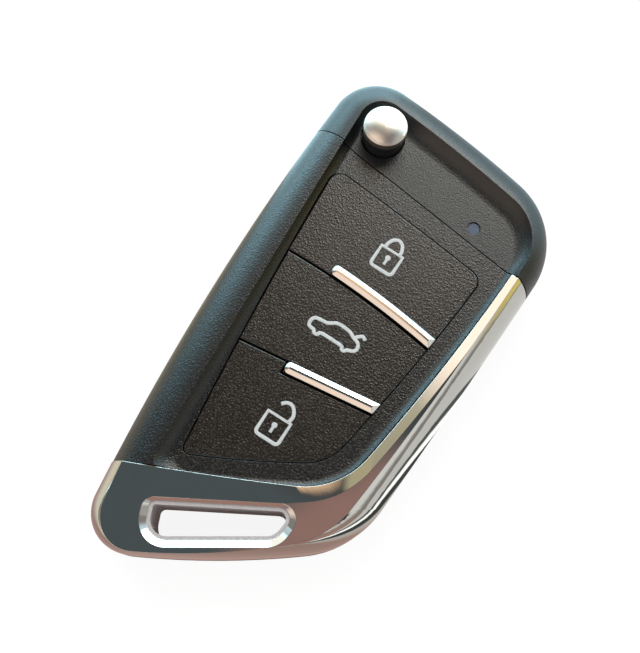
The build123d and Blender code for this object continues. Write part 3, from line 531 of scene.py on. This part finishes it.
def padlock(size, shackle, place):
    """Paths of a padlock sign: body outline, shackle, keyhole and its stem."""
    half_w, half_h = size[0] / 2, size[1] / 2
    corner_x, corner_y = half_w - LOCK_CORNER, LOCK_CORNER - half_h
    body = [(-half_w, half_h), (half_w, half_h)]
    body += arc(corner_x, corner_y, LOCK_CORNER, 0, -90, 6)
    body += arc(-corner_x, corner_y, LOCK_CORNER, -90, -180, 6)
    eye = arc(0, KEYHOLE_HEIGHT, KEYHOLE_RADIUS, 0, 360, 12)[:-1]
    paths = [
        (body, True, SIGN_STROKE),
        (smooth(shackle, False), False, SIGN_STROKE),
        (eye, True, KEYHOLE_STROKE),
        (KEYHOLE_STEM, False, STEM_STROKE),
    ]
    return [(turned(points, *place), closed, width) for points, closed, width in paths]


def strokes(name, paths, top_z, body, material):
    """Thin raised lines on a key: each path is (points, closed, width)."""
    curve = bpy.data.curves.new(name, "CURVE")
    curve.dimensions = "3D"
    curve.bevel_depth = 0.5 * MM
    curve.bevel_resolution = SIGN_BEVEL_STEPS
    curve.use_fill_caps = True
    for points, closed, width in paths:
        spline = curve.splines.new("POLY")
        spline.points.add(len(points) - 1)
        for point, (x, y) in zip(spline.points, points):
            point.co = (x * MM, y * MM, 0, 1)
            point.radius = width
        spline.use_cyclic_u = closed
    source = bpy.data.objects.new(name + "_line", curve)
    mesh = bpy.data.meshes.new_from_object(source)
    bpy.data.objects.remove(source)
    for vertex in mesh.vertices:
        vertex.co.z = top_z + max(vertex.co.z, -SIGN_SINK * MM) * SIGN_HEIGHT / (SIGN_STROKE / 2)
    for polygon in mesh.polygons:
        polygon.use_smooth = True
    mesh.materials.append(material)
    piece = bpy.data.objects.new(name, mesh)
    bpy.context.scene.collection.objects.link(piece)
    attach(piece, body)


def make_signs():
    """Generic signs on the keys: closed padlock, car with its boot open, open padlock."""
    ink = sign_finish()
    key_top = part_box("lock_button")[1].z
    car = [(smooth(CAR_BODY, True), True, SIGN_STROKE), (smooth(CAR_LID, False), False, SIGN_STROKE)]
    strokes("sign_lock", padlock(LOCK_SIZE, SHUT_SHACKLE, LOCK_PLACE), key_top, "lock_key", ink)
    strokes("sign_unlock", padlock(UNLOCK_SIZE, OPEN_SHACKLE, UNLOCK_PLACE), key_top, "unlock_key", ink)
    strokes("sign_boot", car, key_top, "trunk_key", ink)


def direction(azimuth, elevation):
    """Unit vector; azimuth 0 is +X and 90 is +Y."""
    a, e = math.radians(azimuth), math.radians(elevation)
    return Vector((math.cos(a) * math.cos(e), math.sin(a) * math.cos(e), math.sin(e)))


def room_colour(tree, base, patches, wobble):
    """Colour by direction from the object: a base colour with soft uneven patches laid over it."""
    coords = tree.nodes.new("ShaderNodeTexCoord")
    straight = vector_node(tree, "NORMALIZE", coords.outputs["Object"]).outputs["Vector"]
    waves = tree.nodes.new("ShaderNodeTexNoise")
    waves.inputs["Scale"].default_value = WAVE_SCALE
    waves.inputs["Detail"].default_value = WAVE_DETAIL
    tree.links.new(straight, waves.inputs["Vector"])
    centred = vector_node(tree, "ADD", straight, (-wobble,) * 3).outputs["Vector"]
    swing = (wobble * 2,) * 3
    shifted = vector_node(tree, "MULTIPLY_ADD", waves.outputs["Color"], swing, centred).outputs["Vector"]
    uneven = vector_node(tree, "NORMALIZE", shifted).outputs["Vector"]
    colour = base
    for azimuth, elevation, full, gone, patch in patches:
        dot = vector_node(tree, "DOT_PRODUCT", uneven, direction(azimuth, elevation))
        low, high = math.cos(math.radians(gone)), math.cos(math.radians(full))
        colour = mix_colours(tree, remap(tree, dot.outputs["Value"], 0, 1, low, high), colour, patch)
    return colour


def dress_card(card, name, base, patches, wobble):
    """Make an object a light card that only reflections see."""
    card.name = name
    material = bpy.data.materials.new(name)
    material.use_nodes = True
    tree = material.node_tree
    tree.nodes.clear()
    emission = tree.nodes.new("ShaderNodeEmission")
    tree.links.new(room_colour(tree, base, patches, wobble), emission.inputs["Color"])
    output = tree.nodes.new("ShaderNodeOutputMaterial")
    tree.links.new(emission.outputs["Emission"], output.inputs["Surface"])
    card.data.materials.append(material)
    card.visible_camera = False
    card.visible_diffuse = False
    card.visible_transmission = False
    card.visible_shadow = False
    card.visible_volume_scatter = False


def make_cards():
    """Dome and ground that the object reflects, as a room with windows would show in it."""
    bpy.ops.mesh.primitive_uv_sphere_add(segments=DOME_SEGMENTS, ring_count=DOME_RINGS, radius=DOME_RADIUS_M)
    dress_card(bpy.context.object, "dome_card", DOME_BASE, DOME_PATCHES, DOME_WOBBLE)
    bpy.ops.mesh.primitive_plane_add(size=FLOOR_SIZE_M, location=(0, 0, -FLOOR_DROP * MM / 2))
    dress_card(bpy.context.object, "ground_card", GROUND_BASE, GROUND_PATCHES, GROUND_WOBBLE)


def seen_rays(tree):
    """One for camera, glossy and transmission rays."""
    path = tree.nodes.new("ShaderNodeLightPath")
    total = path.outputs["Is Camera Ray"]
    for name in ("Is Glossy Ray", "Is Transmission Ray"):
        total = math_node(tree, "MAXIMUM", total, path.outputs[name])
    return total


def make_world():
    """Even fill; the background that the camera, gloss and glass see is white."""
    world = bpy.data.worlds.new("studio")
    bpy.context.scene.world = world
    world.use_nodes = True
    tree = world.node_tree
    background = tree.nodes["Background"]
    background.inputs["Color"].default_value = (1, 1, 1, 1)
    tree.links.new(remap(tree, seen_rays(tree), WORLD_FILL, 1.0, 0, 1), background.inputs["Strength"])


def make_floor():
    """Plain pale floor that keeps the object's shadow and reads as white."""
    bpy.ops.mesh.primitive_plane_add(size=FLOOR_SIZE_M)
    floor = bpy.context.object
    floor.name = "floor"
    floor.location.z = -FLOOR_DROP * MM
    material, tree, shader = new_material("floor_white")
    shader.inputs["Roughness"].default_value = 0.9
    shader.inputs["Specular IOR Level"].default_value = 0.1
    dark, light = (FLOOR_TONE,) * 3, (FLOOR_TONE * FLOOR_TONE_SPREAD,) * 3
    tone = mix_colours(tree, remap(tree, noise(tree, FLOOR_TONE_SIZE), 0, 1), dark, light)
    tree.links.new(tone, shader.inputs["Base Color"])
    shader.inputs["Emission Color"].default_value = (1, 1, 1, 1)
    tree.links.new(remap(tree, seen_rays(tree), 0, FLOOR_GLOW, 0, 1), shader.inputs["Emission Strength"])
    floor.data.materials.append(material)


def make_lamp(name, azimuth, elevation, strength, spread, colour):
    """Soft distant lamp that shines on the object from a direction."""
    data = bpy.data.lights.new(name, "SUN")
    data.energy = strength
    data.angle = math.radians(spread)
    data.color = colour
    lamp = bpy.data.objects.new(name, data)
    lamp.rotation_euler = (-direction(azimuth, elevation)).to_track_quat("-Z", "Y").to_euler()
    lamp.visible_glossy = False
    bpy.context.scene.collection.objects.link(lamp)


def make_camera():
    """Camera at the photograph's viewing angle."""
    data = bpy.data.cameras.new("camera")
    data.sensor_width = SENSOR
    data.lens = SENSOR * FOCAL_PIXELS / FRAME_HEIGHT
    data.clip_start = CLIP_NEAR_M
    data.clip_end = CLIP_FAR_M
    camera = bpy.data.objects.new("camera", data)
    camera.location = EYE
    camera.rotation_euler = Euler([math.radians(a) for a in EYE_ANGLES])
    bpy.context.scene.collection.objects.link(camera)
    bpy.context.scene.camera = camera


bpy.context.scene.view_settings.view_transform = "Standard"
make_camera()
dress_nodes(make_finishes())
make_signs()
compress_spring()
make_world()
make_floor()
make_cards()
for lamp in LAMPS:
    make_lamp(*lamp)
